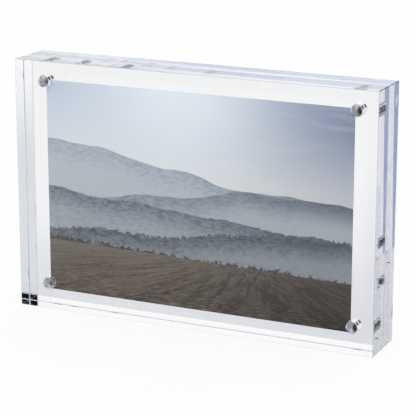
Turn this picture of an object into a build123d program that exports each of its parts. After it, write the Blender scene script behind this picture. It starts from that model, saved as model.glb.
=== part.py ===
from build123d import *

import math
import os

# Acrylic block frame: two clear blocks, held face to face by magnets in their corners, with a photo print
# between them.
#
# The frame stands in landscape on the blocks' bottom edges. +X is to the viewer's right, +Y goes back from
# the viewer and +Z is up. The origin is the middle of the footprint, so the front block lies at -Y and the
# back block at +Y. All lengths are in millimetres.

# Print: a standard 6 x 4 inch sheet of photo paper, laid in by hand a little low and to the left
print_width = 152.4
print_height = 101.6
print_thickness = 0.25
print_shift_x = -0.7
print_shift_z = -1.4

# Blocks: cast acrylic sheet, which the print's clear borders make wider and taller than the print
side_border = 12.8
top_border = 8.7
block_thickness = 12.5
edge_chamfer = 0.25

# Air film on each face of the print, because two flat blocks never press a sheet flat all over
print_clearance = 0.075

# Magnets: plated discs, one in each corner of each block, set from the block's edges to the magnet's axis
magnet_diameter = 5.5
magnet_length = 4.0
magnet_edge_radius = 0.3
magnet_inset_x = 12.0
magnet_inset_z = 10.6

# Bores: drilled blind from each block's inner face, a close fit for the magnets, with a lightly
# countersunk mouth and the drill point's cone
magnet_fit = 0.05
magnet_recess = 0.15
magnet_end_gap = 0.15
bore_mouth_chamfer = 0.2
drill_point_angle = 140.0

# How far a cutter runs past the face that it starts from
cut_overrun = 1.0

# Places and sizes worked out from the values above
block_width = print_width + 2 * side_border
block_height = print_height + 2 * top_border
inner_face = print_thickness / 2 + print_clearance
bore_radius = magnet_diameter / 2 + magnet_fit
bore_depth = magnet_recess + magnet_length + magnet_end_gap
cone_depth = bore_radius / math.tan(math.radians(drill_point_angle / 2))

# The way that each block lies from the print, along Y
SIDES = {"front": -1, "back": 1}

# The way that each corner lies from the block's middle, along X and Z
CORNERS = {
    "top_left": (-1, 1),
    "top_right": (1, 1),
    "bottom_left": (-1, -1),
    "bottom_right": (1, -1),
}


def bore_plane(side, corner):
    """The plane at a bore's mouth, whose Z axis runs along the bore into the block."""
    to_right, to_top = corner
    x = to_right * (block_width / 2 - magnet_inset_x)
    z = block_height / 2 + to_top * (block_height / 2 - magnet_inset_z)
    return Plane(origin=(x, side * inner_face, z), x_dir=(1, 0, 0), z_dir=(0, side, 0))


def bore_cutter():
    """What the drill and the countersink take out, from past the mouth to the tip of the cone."""
    mouth_radius = bore_radius + bore_mouth_chamfer
    profile = [
        (0, -cut_overrun),
        (mouth_radius, -cut_overrun),
        (mouth_radius, 0),
        (bore_radius, bore_mouth_chamfer),
        (bore_radius, bore_depth),
        (0, bore_depth + cone_depth),
    ]
    return revolve(make_face(Plane.XZ * Polyline(*profile, close=True)), Axis.Z)


def block(side):
    """One clear block with chamfered, polished edges and four blind bores in its inner face."""
    middle = (0, side * (inner_face + block_thickness / 2), block_height / 2)
    blank = Pos(*middle) * Box(block_width, block_thickness, block_height)
    blank = chamfer(blank.edges(), edge_chamfer)
    for corner in CORNERS.values():
        blank -= bore_plane(side, corner) * bore_cutter()
    return blank


def magnet():
    """A plated magnet disc with rounded rims, set below the plane of its bore's mouth."""
    disc = Cylinder(magnet_diameter / 2, magnet_length, align=(Align.CENTER, Align.CENTER, Align.MIN))
    disc = fillet(disc.edges().filter_by(GeomType.CIRCLE), magnet_edge_radius)
    return Pos(0, 0, magnet_recess) * disc


def photo_print():
    """The sheet of photo paper, upright between the blocks."""
    sheet = Box(print_width, print_thickness, print_height)
    return Pos(print_shift_x, 0, block_height / 2 + print_shift_z) * sheet


def pieces():
    """Every piece of the frame by its name."""
    made = {"photo_print": photo_print()}
    for side_name, side in SIDES.items():
        made[f"{side_name}_block"] = block(side)
        for corner_name, corner in CORNERS.items():
            made[f"{side_name}_magnet_{corner_name}"] = bore_plane(side, corner) * magnet()
    return made


os.makedirs("parts", exist_ok=True)
for name, piece in pieces().items():
    export_step(piece, f"parts/{name}.step")
    size = piece.bounding_box().size
    print(f"{name}: {size.X:.2f} x {size.Y:.2f} x {size.Z:.2f} mm")
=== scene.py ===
# %% [markdown]
# # An acrylic block frame, finished in Blender
#
# Two clear blocks, eight magnets and a photo print come ready made from the CAD model, at their real sizes
# and in their real places. What is left for Blender is how they look: clear acrylic that bends the view,
# plated metal, and a printed picture. Almost all that shows in such a frame is its surroundings, bent by
# the blocks, so the studio round it is made with as much care as the materials.

# %% Load the frame
import math

import bpy
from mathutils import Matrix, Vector


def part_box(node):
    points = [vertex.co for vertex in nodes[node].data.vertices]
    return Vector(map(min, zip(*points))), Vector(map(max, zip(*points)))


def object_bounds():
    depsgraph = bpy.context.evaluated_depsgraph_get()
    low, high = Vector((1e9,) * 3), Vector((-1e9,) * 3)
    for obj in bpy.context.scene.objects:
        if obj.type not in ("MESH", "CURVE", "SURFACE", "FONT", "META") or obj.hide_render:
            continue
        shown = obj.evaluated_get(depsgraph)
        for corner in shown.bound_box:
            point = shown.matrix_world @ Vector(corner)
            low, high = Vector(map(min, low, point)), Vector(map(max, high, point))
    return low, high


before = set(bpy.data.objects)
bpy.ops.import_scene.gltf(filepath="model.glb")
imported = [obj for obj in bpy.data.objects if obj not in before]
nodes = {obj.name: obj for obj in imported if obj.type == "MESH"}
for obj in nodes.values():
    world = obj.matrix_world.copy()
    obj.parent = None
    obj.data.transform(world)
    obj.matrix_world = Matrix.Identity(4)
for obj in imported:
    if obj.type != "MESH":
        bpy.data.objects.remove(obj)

cad_low, cad_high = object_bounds()
print("CAD box in mm:", [round(1000 * side, 1) for side in cad_high - cad_low])

# %% [markdown]
# ## The camera
#
# The photograph was taken with a long lens from the right of the frame and a little above it. The frame's
# seven visible corners fix that view, because their true sizes are known: a least-squares fit gives the
# angles, the distance and the lens. A camera could also be set by eye, but in clear blocks a small error
# moves every reflection.

# %% Camera
AZIMUTH = math.radians(25.01)
ELEVATION = math.radians(15.3)
DISTANCE = 0.8102
AIM = Vector((0.0035, 0.0, 0.0551))
LENS_MM = 153.9
SENSOR_MM = 36.0

towards_camera = Vector(
    (
        math.sin(AZIMUTH) * math.cos(ELEVATION),
        -math.cos(AZIMUTH) * math.cos(ELEVATION),
        math.sin(ELEVATION),
    )
)
camera_data = bpy.data.cameras.new("camera")
camera_data.lens = LENS_MM
camera_data.sensor_width = SENSOR_MM
camera = bpy.data.objects.new("camera", camera_data)
camera.location = AIM + towards_camera * DISTANCE
camera.rotation_mode = "QUATERNION"
camera.rotation_quaternion = (-towards_camera).to_track_quat("-Z", "Y")
bpy.context.scene.collection.objects.link(camera)
bpy.context.scene.camera = camera
print("camera at", [round(1000 * c, 1) for c in camera.location], "mm")

# %% [markdown]
# ## Shader maths as Python
#
# A material in Blender is a graph of nodes. Built by hand in code, a formula of ten nodes takes thirty
# lines and can't be read. So one small class wraps a node's output and lets Python's own operators add the
# Math nodes, and one method adds any other node. The materials below then read as formulas.

# %% Wires and nodes
class Wire:
    """One output of a node. Python's operators on wires add Math nodes, so a formula reads as written."""

    def __init__(self, socket):
        self.socket = socket
        self.nodes = Nodes(socket.id_data)

    def out(self, name):
        return Wire(self.socket.node.outputs[name])

    def __add__(self, term):
        return maths("ADD", self, term)

    def __sub__(self, term):
        return maths("SUBTRACT", self, term)

    def __mul__(self, term):
        return maths("MULTIPLY", self, term)

    def __truediv__(self, term):
        return maths("DIVIDE", self, term)

    def __pow__(self, term):
        return maths("POWER", self, term)

    def __gt__(self, term):
        return maths("GREATER_THAN", self, term)

    def __lt__(self, term):
        return maths("LESS_THAN", self, term)

    def __neg__(self):
        return maths("MULTIPLY", self, -1)

    def __abs__(self):
        return maths("ABSOLUTE", self)

    def __radd__(self, term):
        return maths("ADD", term, self)

    def __rsub__(self, term):
        return maths("SUBTRACT", term, self)

    def __rmul__(self, term):
        return maths("MULTIPLY", term, self)

    def __rtruediv__(self, term):
        return maths("DIVIDE", term, self)


class Nodes:
    """A node tree, and the one way that nodes are added to it."""

    def __init__(self, tree):
        self.tree = tree

    def node(self, kind, settings=None, inputs=None, output=0):
        """Adds a node, sets it up, fills or links its sockets and returns one of its outputs as a Wire."""
        made = self.tree.nodes.new(kind)
        for name, value in (settings or {}).items():
            if name == "stops":
                ramp = made.color_ramp
                while len(ramp.elements) < len(value):
                    ramp.elements.new(0.5)
                for element, (place, colour) in zip(ramp.elements, value):
                    element.position = place
                    element.color = colour
            else:
                setattr(made, name, value)
        for place, value in (inputs or {}).items():
            if isinstance(value, Wire):
                self.tree.links.new(value.socket, made.inputs[place])
            else:
                made.inputs[place].default_value = value
        return Wire(made.outputs[output]) if len(made.outputs) else made


def maths(operation, *terms):
    """A Math node on wires and numbers, in the tree that the first wire belongs to."""
    tree = next(term.nodes for term in terms if isinstance(term, Wire))
    return tree.node("ShaderNodeMath", {"operation": operation}, dict(enumerate(terms)))


def new_material(name):
    material = bpy.data.materials.new(name)
    material.use_nodes = True
    material.node_tree.nodes.clear()
    return material, Nodes(material.node_tree)


# %% [markdown]
# A few shorthands carry most of the work below. A shade is written as the 0 to 255 numbers that a paint
# chip or a picture program shows, and turned into the linear light that a shader needs. `rise` is a soft
# switch: 0 below one value, 1 above another, and smooth between. `blend` lays one colour over another by a
# mask.

# %% Shorthands
def shade(red, green, blue):
    """A colour in 0 to 255 display numbers, as the linear colour that shaders work with."""
    linear = []
    for number in (red, green, blue):
        part = number / 255
        linear.append(part / 12.92 if part <= 0.04045 else ((part + 0.055) / 1.055) ** 2.4)
    return (*linear, 1.0)


def rise(value, low, high):
    """0 where the value is below low, 1 above high, and a smooth step between."""
    limits = {"Value": value, "From Min": low, "From Max": high}
    return value.nodes.node("ShaderNodeMapRange", {"interpolation_type": "SMOOTHSTEP"}, limits)


def blend(mask, under, over):
    """The colour under, with the colour over laid on it where the mask is 1."""
    return mask.nodes.node("ShaderNodeMix", {"data_type": "RGBA"}, {0: mask, 6: under, 7: over}, 2)


def bell(value, middle, width):
    """1 where the value is at the middle, falling to almost nothing two widths away."""
    return maths("EXPONENT", -(((value - middle) / width) ** 2))


def noise(tree, scale, detail=2.0, roughness=0.5, **place):
    """Cloudy noise from 0 to 1. place is either vector=a Wire, or x, y and z as Wires or numbers."""
    where = place.get("vector")
    if where is None:
        by_axis = {"XYZ".index(axis.upper()): value for axis, value in place.items()}
        where = tree.node("ShaderNodeCombineXYZ", None, by_axis)
    settings = {"Vector": where, "Scale": scale, "Detail": detail, "Roughness": roughness}
    return tree.node("ShaderNodeTexNoise", None, settings)


# %% [markdown]
# ## The studio
#
# Almost all that shows in clear blocks is the room round them. Lamps and cards could stand round the frame
# as objects, but the world's shader can paint the same room by direction, without noise. The Light Path
# node tells apart how a ray came there. Straight through the blocks it meets a white backdrop. Mirrored in
# them or in the magnets it meets the room: white in most directions, blue-grey behind on the left, a dark
# gap behind on the right, and in front on the left a grey room with a dark part beside it. Rays that ran the
# whole length of a block meet a bright screen in front. The blocks' outer faces mirror a dark card, as
# photographers use with glass, because a pale reflection would veil the print. Matte surfaces take plain
# soft light from all sides, in which a colour renders about as it is written. It is stronger where it comes
# through a block, because the print behind the block would otherwise render darker than its colours are
# written.

# %% World
world = bpy.data.worlds.new("studio")
bpy.context.scene.world = world
world.use_nodes = True
world.node_tree.nodes.clear()
room = Nodes(world.node_tree)
ray = room.node("ShaderNodeTexCoord", output="Generated")
ray_parts = room.node("ShaderNodeSeparateXYZ", None, {0: ray})
bearing = maths("ARCTAN2", ray_parts.out("X"), ray_parts.out("Y")) * math.degrees(1)
height = maths("ARCSINE", ray_parts.out("Z")) * math.degrees(1)


def outlook(azimuth, elevation, half_width, half_height, soft):
    """1 inside a patch of directions, soft at its rim. Degrees, with azimuth from +Y towards +X."""
    sideways = abs(maths("WRAP", bearing - azimuth, 180, -180))
    upward = abs(height - elevation)
    across = 1 - rise(sideways, half_width, half_width + soft)
    along = 1 - rise(upward, half_height, half_height + soft)
    return across * along


WHITE = (1, 1, 1, 1)
BACKLIGHT = (1.08, 1.08, 1.08, 1)
ROOM_LIGHT = (2.35, 2.35, 2.35, 1)
BEHIND_LEFT = (0.42, 0.49, 0.68, 1)
BEHIND_RIGHT = (0.70, 0.74, 0.79, 1)
FRONT_LEFT = (0.52, 0.53, 0.58, 1)
FRONT_GLOW = (1.06, 1.06, 1.11, 1)
DARK_ROOM = (0.01, 0.01, 0.014, 1)
DARK_GAP = (0.004, 0.005, 0.014, 1)

# Each patch of the room: azimuth, elevation, half width, half height and soft rim in degrees, and its light
ROOM_PATCHES = {
    "low behind, left": (-19, -14, 4, 5, 7, BEHIND_LEFT),
    "low behind, right": (33, -19, 5, 5, 4, BEHIND_RIGHT),
    "high behind, left": (-30, 8, 4, 4, 5, BEHIND_RIGHT),
    "low in front, left": (-150, -16, 24, 20, 6, FRONT_LEFT),
    "low in front, middle": (-184, -17, 8, 27, 12, DARK_ROOM),
    "gap in front, right": (150, 18, 3, 3, 4, DARK_GAP),
    "gap behind, right": (22, 17, 14, 14, 4, DARK_GAP),
}
GLOW_PATCH = (-161, -14, 6, 8, 6)
painted = WHITE
for *patch, patch_light in ROOM_PATCHES.values():
    painted = blend(outlook(*patch), painted, patch_light)

# A ray that has been mirrored four times or more has run the length of a block. One that has been mirrored
# once, and has passed no more than two faces, meets the card if it leaves below the horizon and not too
# steeply.
LONG_WAY = 3.5
MIRRORED_ONCE = 1.5
TWO_FACES = 2.5
CARD_REACH = -0.6
ray_kind = room.node("ShaderNodeLightPath")
mirrored = ray_kind.out("Glossy Depth") > 0.5
from_matte = ray_kind.out("Diffuse Depth") > 0.5
long_way = ray_kind.out("Glossy Depth") > LONG_WAY
painted = blend(long_way * outlook(*GLOW_PATCH), painted, FRONT_GLOW)
outer = (ray_kind.out("Glossy Depth") < MIRRORED_ONCE) * (ray_kind.out("Transmission Depth") < TWO_FACES)
on_card = (ray_parts.out("Z") < 0) * (ray_parts.out("Z") > CARD_REACH)
painted = blend(outer * on_card, painted, DARK_ROOM)
light = blend(mirrored, BACKLIGHT, painted)
light = blend(from_matte, light, blend(ray_kind.out("Is Transmission Ray"), WHITE, ROOM_LIGHT))
light = blend(ray_kind.out("Is Camera Ray"), light, WHITE)
background = room.node("ShaderNodeBackground", None, {"Color": light})
room.node("ShaderNodeOutputWorld", None, {"Surface": background})
print("world nodes:", len(world.node_tree.nodes))

# %% [markdown]
# ## The floor
#
# The frame stands on a sheet of white paper. In the photograph the sheet is pure white, yet a matte white
# can't send back all the light that falls on it, and a brighter lamp would wash the frame out. So what the
# camera sees is mostly the sheet's own white, laid over the matte one that still takes the frame's shadow.
# Through the blocks the sheet shows painted shade, which the camera never sees directly. It is a painted
# shadow, grey from the frame's foot forwards and fading out behind it, and lavender on the right, painted as
# the light falling off there. Further behind, the sheet is white.

# %% Floor
FLOOR_SIZE = 6.0
FLOOR_DROP = 0.0002
half = FLOOR_SIZE / 2
floor_mesh = bpy.data.meshes.new("floor")
corners = [(-half, -half, 0), (half, -half, 0), (half, half, 0), (-half, half, 0)]
floor_mesh.from_pydata(corners, [], [(0, 1, 2, 3)])
floor = bpy.data.objects.new("floor", floor_mesh)
bpy.context.scene.collection.objects.link(floor)
floor.location.z = -FLOOR_DROP

floor_material, ground = new_material("white_sheet")
floor_mesh.materials.append(floor_material)
spot = ground.node("ShaderNodeTexCoord", output="Object")
spot_parts = ground.node("ShaderNodeSeparateXYZ", None, {0: spot})
spot_x = spot_parts.out("X")
spot_y = spot_parts.out("Y")

SHADOW_FULL_TO = 0.02
SHADOW_GONE_FROM = 0.15
FALLOFF_FROM = -0.04
FALLOFF_TO = 0.12
OWN_WHITE_SHARE = 0.85
# Painted shade: the grey from the frame's foot forwards is a painted shadow, and the lavender to the right
# is painted falloff of the light.
painted_shadow = 1 - rise(spot_y, cad_high.y + SHADOW_FULL_TO, cad_high.y + SHADOW_GONE_FROM)
right = rise(spot_x, FALLOFF_FROM, FALLOFF_TO)
painted_shade_tone = blend(painted_shadow * 0.8, WHITE, shade(232, 232, 238))
painted_shade_tone = blend(right, painted_shade_tone, shade(230, 230, 237))
floor_ray = ground.node("ShaderNodeLightPath")
direct = floor_ray.out("Is Camera Ray")
through = floor_ray.out("Is Transmission Ray")
mirrored = floor_ray.out("Glossy Depth") > 0.5
own_white = ground.node("ShaderNodeEmission", None, {"Color": blend(direct, painted_shade_tone, WHITE)})
matte = ground.node("ShaderNodeBsdfDiffuse", None, {"Color": blend(direct, painted_shade_tone, shade(250, 250, 251))})
own_share = maths("MAXIMUM", direct, through) * OWN_WHITE_SHARE
sheet = ground.node("ShaderNodeMixShader", None, {0: own_share, 1: matte, 2: own_white})
open_air = ground.node("ShaderNodeBsdfTransparent")
sheet = ground.node("ShaderNodeMixShader", None, {0: mirrored, 1: sheet, 2: open_air})
ground.node("ShaderNodeOutputMaterial", None, {"Surface": sheet})
print("floor is", FLOOR_SIZE, "m wide")

# %% [markdown]
# ## Cast acrylic
#
# The blocks are cut from cast acrylic sheet, and their edges are milled and polished by hand. Their large
# faces are as smooth as the sheet was cast. A polished edge keeps a faint ripple that shows only in what it
# bends. The narrow chamfers are tinted grey, as painted shade for the thin dark lines that a block's edges
# show. The drill leaves the bores' walls frosted, apart from a band that the magnet burnished when it was
# pressed in, and that band mirrors the dark gap behind as a black oval. All of it is one glass-like shader
# with the acrylic's real index of 1.491, so the blocks bend, mirror and trap light as the real ones do. A
# little absorption gives a long way through the block its cool tint. Masks from the place and the surface's
# direction choose the finish, because the bores and chamfers belong to the same solid.

# %% Acrylic
MM = 0.001
mid_height = (cad_low.z + cad_high.z) / 2
magnet_low, magnet_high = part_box("front_magnet_top_right")
magnet_x = (magnet_low.x + magnet_high.x) / 2
magnet_z = (magnet_low.z + magnet_high.z) / 2
magnet_radius = (magnet_high.x - magnet_low.x) / 2
bore_reach = abs(magnet_low.y) + 2 * MM
BURNISH_START = (0.9 * MM, 1.1 * MM)
BURNISH_END = (2.7 * MM, 3.0 * MM)
WALL_MARGIN = 1 * MM
RIPPLE_SCALE = 130.0
FROSTED_ROUGHNESS = 0.35
CHAMFER_ROUGHNESS = 0.05
magnet_offsets = [round(offset / MM, 2) for offset in (magnet_x, magnet_z - mid_height)]
print("magnets at", magnet_offsets, "mm from the middle")

acrylic_material, acrylic = new_material("cast_acrylic")
place = acrylic.node("ShaderNodeTexCoord", output="Object")
place_parts = acrylic.node("ShaderNodeSeparateXYZ", None, {0: place})
from_bore_x = abs(place_parts.out("X")) - magnet_x
from_bore_z = abs(place_parts.out("Z") - mid_height) - (magnet_z - mid_height)
from_axis = (from_bore_x ** 2 + from_bore_z ** 2) ** 0.5
depth = abs(place_parts.out("Y"))
in_bore = (from_axis < magnet_radius + WALL_MARGIN) * (depth < bore_reach)
facing = acrylic.node("ShaderNodeTexCoord", output="Normal")
facing_parts = acrylic.node("ShaderNodeSeparateXYZ", None, {0: facing})
on_wall = in_bore * (abs(facing_parts.out("Y")) < 0.5)
burnished = rise(depth, *BURNISH_START) * (1 - rise(depth, *BURNISH_END))
frosted = on_wall * (1 - burnished)

on_edge = 1 - rise(abs(facing_parts.out("Y")), 0.2, 0.6)
squareness = maths("MAXIMUM", abs(facing_parts.out("X")), abs(facing_parts.out("Z")))
on_chamfer = (1 - in_bore) * (squareness < 0.9) * (abs(facing_parts.out("Y")) < 0.9)

ripple = noise(acrylic, RIPPLE_SCALE, 1.0, vector=place)
relief = (1 - in_bore) * on_edge * ripple * 1.5
surface = acrylic.node("ShaderNodeBump", None, {"Strength": 1.0, "Distance": 0.001 * MM, "Height": relief})
# The grey Base Color on the chamfers below is painted shade, for the thin dark lines at the blocks' edges.
clear = acrylic.node(
    "ShaderNodeBsdfPrincipled",
    None,
    {
        "Base Color": blend(on_chamfer, WHITE, shade(180, 180, 186)),
        "Roughness": frosted * FROSTED_ROUGHNESS + on_chamfer * CHAMFER_ROUGHNESS,
        "IOR": 1.491,
        "Transmission Weight": 1.0,
        "Normal": surface,
    },
)
tint = acrylic.node("ShaderNodeVolumeAbsorption", None, {"Color": (0.45, 0.55, 0.78, 1), "Density": 1.0})
acrylic.node("ShaderNodeOutputMaterial", None, {"Surface": clear, "Volume": tint})

# %% [markdown]
# ## Nickel plating
#
# The magnets are sintered discs with a bright nickel plating. It is a mirror with small faults: a faint
# orange-peel unevenness, hazy patches where the plating was tumbled with other discs, and hairline scuffs.
# A metallic shader with roughness from two layers of noise gives all of that at the size that a 5 mm disc
# shows. A disc's side has only its narrow bore to mirror, so it shows nearly black through the block's end,
# and its darker colour is a painted reflection of that dark gap.

# %% Plating
plating_material, plating = new_material("nickel_plating")
grain = plating.node("ShaderNodeTexCoord", output="Object")
haze = noise(plating, 900.0, 4.0, 0.6, vector=grain)
scuffs = noise(plating, 5200.0, 3.0, 0.7, vector=grain)
unevenness = haze + scuffs * 0.2
peel = plating.node("ShaderNodeBump", None, {"Strength": 0.2, "Distance": 0.002 * MM, "Height": unevenness})
facing = plating.node("ShaderNodeTexCoord", output="Normal")
facing_parts = plating.node("ShaderNodeSeparateXYZ", None, {0: facing})
on_side = 1 - rise(abs(facing_parts.out("Y")), 0.2, 0.6)
colour = blend(rise(haze, 0.35, 0.7), shade(206, 205, 210), shade(190, 189, 197))
# The dark Base Color on the sides is a painted reflection of the dark bore that they face.
bright = plating.node(
    "ShaderNodeBsdfPrincipled",
    None,
    {
        "Base Color": blend(on_side, colour, shade(62, 62, 70)),
        "Roughness": 0.04 + rise(haze, 0.4, 0.75) * 0.05 + rise(scuffs, 0.6, 0.75) * 0.08,
        "Metallic": 1.0,
        "Normal": peel,
    },
)
plating.node("ShaderNodeOutputMaterial", None, {"Surface": bright})

# %% [markdown]
# ## The picture
#
# The print shows hills in morning mist beyond a ploughed field: a picture of no place in particular,
# painted here by formulas in pale blues and greys above and browns below. An image file could do it, but a
# formula keeps its edges sharp at any size and needs no file. `u` runs from 0 at the print's left edge to 1
# at its right, and `v` from 0 at the bottom to 1 at the top.

# %% Print coordinates
print_material, photo = new_material("photo_print")
print_low, print_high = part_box("photo_print")
print_place = photo.node("ShaderNodeTexCoord", output="Object")
print_parts = photo.node("ShaderNodeSeparateXYZ", None, {0: print_place})
u = (print_parts.out("X") - print_low.x) / (print_high.x - print_low.x)
v = (print_parts.out("Z") - print_low.z) / (print_high.z - print_low.z)
print("print is", round((print_high.x - print_low.x) / MM, 1), "mm wide")

# %% [markdown]
# The sky is warm and pale just above the hills and cooler higher up, with light from a veiled sun above the
# middle. Clouds are noise stretched sideways. The whole picture gets darker to the right.

# %% Sky
SKYLINE = 0.5
SUN_U = 0.44
above = (v - SKYLINE) / (1 - SKYLINE)
to_right = rise(u, 0.35, 1.15)
sky = photo.node(
    "ShaderNodeValToRGB",
    {
        "stops": [
            (0.0, shade(240, 237, 229)),
            (0.22, shade(234, 235, 232)),
            (0.5, shade(218, 226, 232)),
            (1.0, shade(198, 210, 225)),
        ]
    },
    {0: above},
)
sky = blend(to_right * (0.42 + 0.50 * rise(above, 0.0, 1.0)), sky, shade(112, 122, 152))
sun = bell(u, SUN_U, 0.28) * bell(v, 1.0, 0.34)
sky = blend(sun * 0.85, sky, shade(240, 247, 252))
streaks = noise(photo, 1.0, 5.0, 0.6, x=u * 2.6, y=v * 13, z=3.1)
sky = blend(rise(streaks, 0.50, 0.76) * 0.30 * rise(above, 0.05, 0.3), sky, shade(240, 240, 242))

# %% [markdown]
# The hills lie one behind another, each a wavy line with everything below it filled in. Haze makes the far
# ones pale and blue, so each nearer hill is darker, and mist gathers at every foot. Woods on the nearer
# hills are a ragged edge and a mottled slope, which is all that shows of a wood so far away.

# %% Hills
MIST = shade(196, 202, 207)
WOOD_SHADE = shade(58, 62, 66)
RIGHT_SHADE = shade(78, 84, 93)


def hill(behind, seed, crest, slope, swing, trees, misty, colour):
    """A hill laid over what is behind it. Heights are shares of the print's height, misty is 0 to 1."""
    rolling = noise(photo, 1.0, 3.0, 0.45, x=u * 2.4, y=seed, z=0.5) - 0.5
    ragged = noise(photo, 1.0, 4.0, 0.8, x=u * 75, y=v * 30, z=seed) - 0.5
    drop = crest + slope * (u - 0.5) + swing * rolling + trees * ragged - v
    mottle = noise(photo, 1.0, 6.0, 0.8, x=u * 48, y=v * 80, z=seed + 0.5)
    slope_colour = blend(rise(mottle, 0.44, 0.58) * (1 - misty), colour, WOOD_SHADE)
    slope_colour = blend(to_right * 0.7, slope_colour, RIGHT_SHADE)
    slope_colour = blend(rise(drop, 0.0, 0.13) * misty, slope_colour, MIST)
    return blend(rise(drop, 0.0, 0.003), behind, slope_colour)


# From the farthest to the nearest: seed, crest, slope, swing, trees, misty and colour
HILLS = (
    (1.3, 0.62, -0.16, 0.20, 0.0, 0.75, shade(184, 194, 206)),
    (4.1, 0.53, 0.12, 0.22, 0.004, 0.65, shade(158, 168, 180)),
    (7.7, 0.46, -0.10, 0.18, 0.03, 0.50, shade(138, 147, 157)),
    (9.2, 0.36, 0.10, 0.14, 0.08, 0.40, shade(120, 128, 135)),
    (12.6, 0.24, -0.04, 0.06, 0.12, 0.10, shade(92, 91, 89)),
)
land = sky
for one_hill in HILLS:
    land = hill(land, *one_hill)
print("hills:", len(HILLS))

# %% [markdown]
# The field is a plane seen at a low angle. A point twice as far below its far edge is half as far away, so
# dividing by that distance makes furrows that run together towards one point, as straight rows really do.
# Stubble is fine noise on the same plane.

# %% Field
FIELD_EDGE = 0.25
ROWS_MEET_U = 0.70
below = (FIELD_EDGE - v) / FIELD_EDGE
far = 1 / (maths("MAXIMUM", below, 0.0) + 0.12)
across_rows = (u - ROWS_MEET_U) * far
furrows = noise(photo, 1.0, 4.0, 0.6, x=across_rows * 26, y=far * 1.2, z=6.1)
stubble = noise(photo, 1.0, 6.0, 0.85, x=across_rows * 30, y=far * 44, z=8.8)
field = photo.node(
    "ShaderNodeValToRGB",
    {
        "stops": [
            (0.0, shade(94, 86, 80)),
            (0.5, shade(110, 102, 95)),
            (1.0, shade(136, 128, 120)),
        ]
    },
    {0: v / FIELD_EDGE},
)
field = blend(rise(furrows, 0.44, 0.56) * 0.55, field, shade(58, 51, 47))
field = blend(rise(stubble, 0.50, 0.62) * 0.55, field, shade(178, 167, 152))
field = blend(rise(u, 0.25, 1.0) * 0.6, field, shade(46, 41, 38))
field_top = FIELD_EDGE + 0.012 * (noise(photo, 1.0, 2.0, x=u * 3, y=2.2, z=0.0) - 0.5) - 0.03 * u
picture = blend(rise(field_top - v, 0.0, 0.004), land, field)
print("picture nodes:", len(print_material.node_tree.nodes))

# %% [markdown]
# The picture is printed on one side of satin photo paper. Its back and its cut edges are plain white, so a
# mask from the depth of the point keeps the picture on the front. A slow waviness in the roughness is what
# a satin surface shows when light grazes it.

# %% Paper
printed = print_parts.out("Y") < print_low.y + 0.02 * MM
satin = noise(photo, 60.0, 3.0, vector=print_place)
tooth = noise(photo, 9000.0, 2.0, vector=print_place)
paper_bump = photo.node("ShaderNodeBump", None, {"Strength": 0.2, "Distance": 0.002 * MM, "Height": tooth})
paper = photo.node(
    "ShaderNodeBsdfPrincipled",
    None,
    {
        "Base Color": blend(printed, shade(244, 243, 240), picture),
        "Roughness": 0.42 + satin * 0.1,
        "Specular IOR Level": 0.3,
        "Normal": paper_bump,
    },
)
photo.node("ShaderNodeOutputMaterial", None, {"Surface": paper})

# %% [markdown]
# ## Each piece gets its finish
#
# The CAD pieces keep their shapes and places. Only their material slots are filled, by the kind of piece.

# %% Assign
FINISHES = {"_block": acrylic_material, "_magnet_": plating_material, "print": print_material}
for name, piece in nodes.items():
    finish = next(material for part, material in FINISHES.items() if part in name)
    piece.data.materials.clear()
    piece.data.materials.append(finish)
    print(name, "is", finish.name)

# %% [markdown]
# ## How the view is computed
#
# Light that enters a block at its side meets its faces a dozen times before it leaves, so the limits on
# bounces are raised. With the usual limits those paths would end early, and the side faces would turn
# black.

# %% Render settings that belong to the scene
scene = bpy.context.scene
scene.view_settings.view_transform = "Standard"
scene.cycles.max_bounces = 64
scene.cycles.transmission_bounces = 64
scene.cycles.glossy_bounces = 64
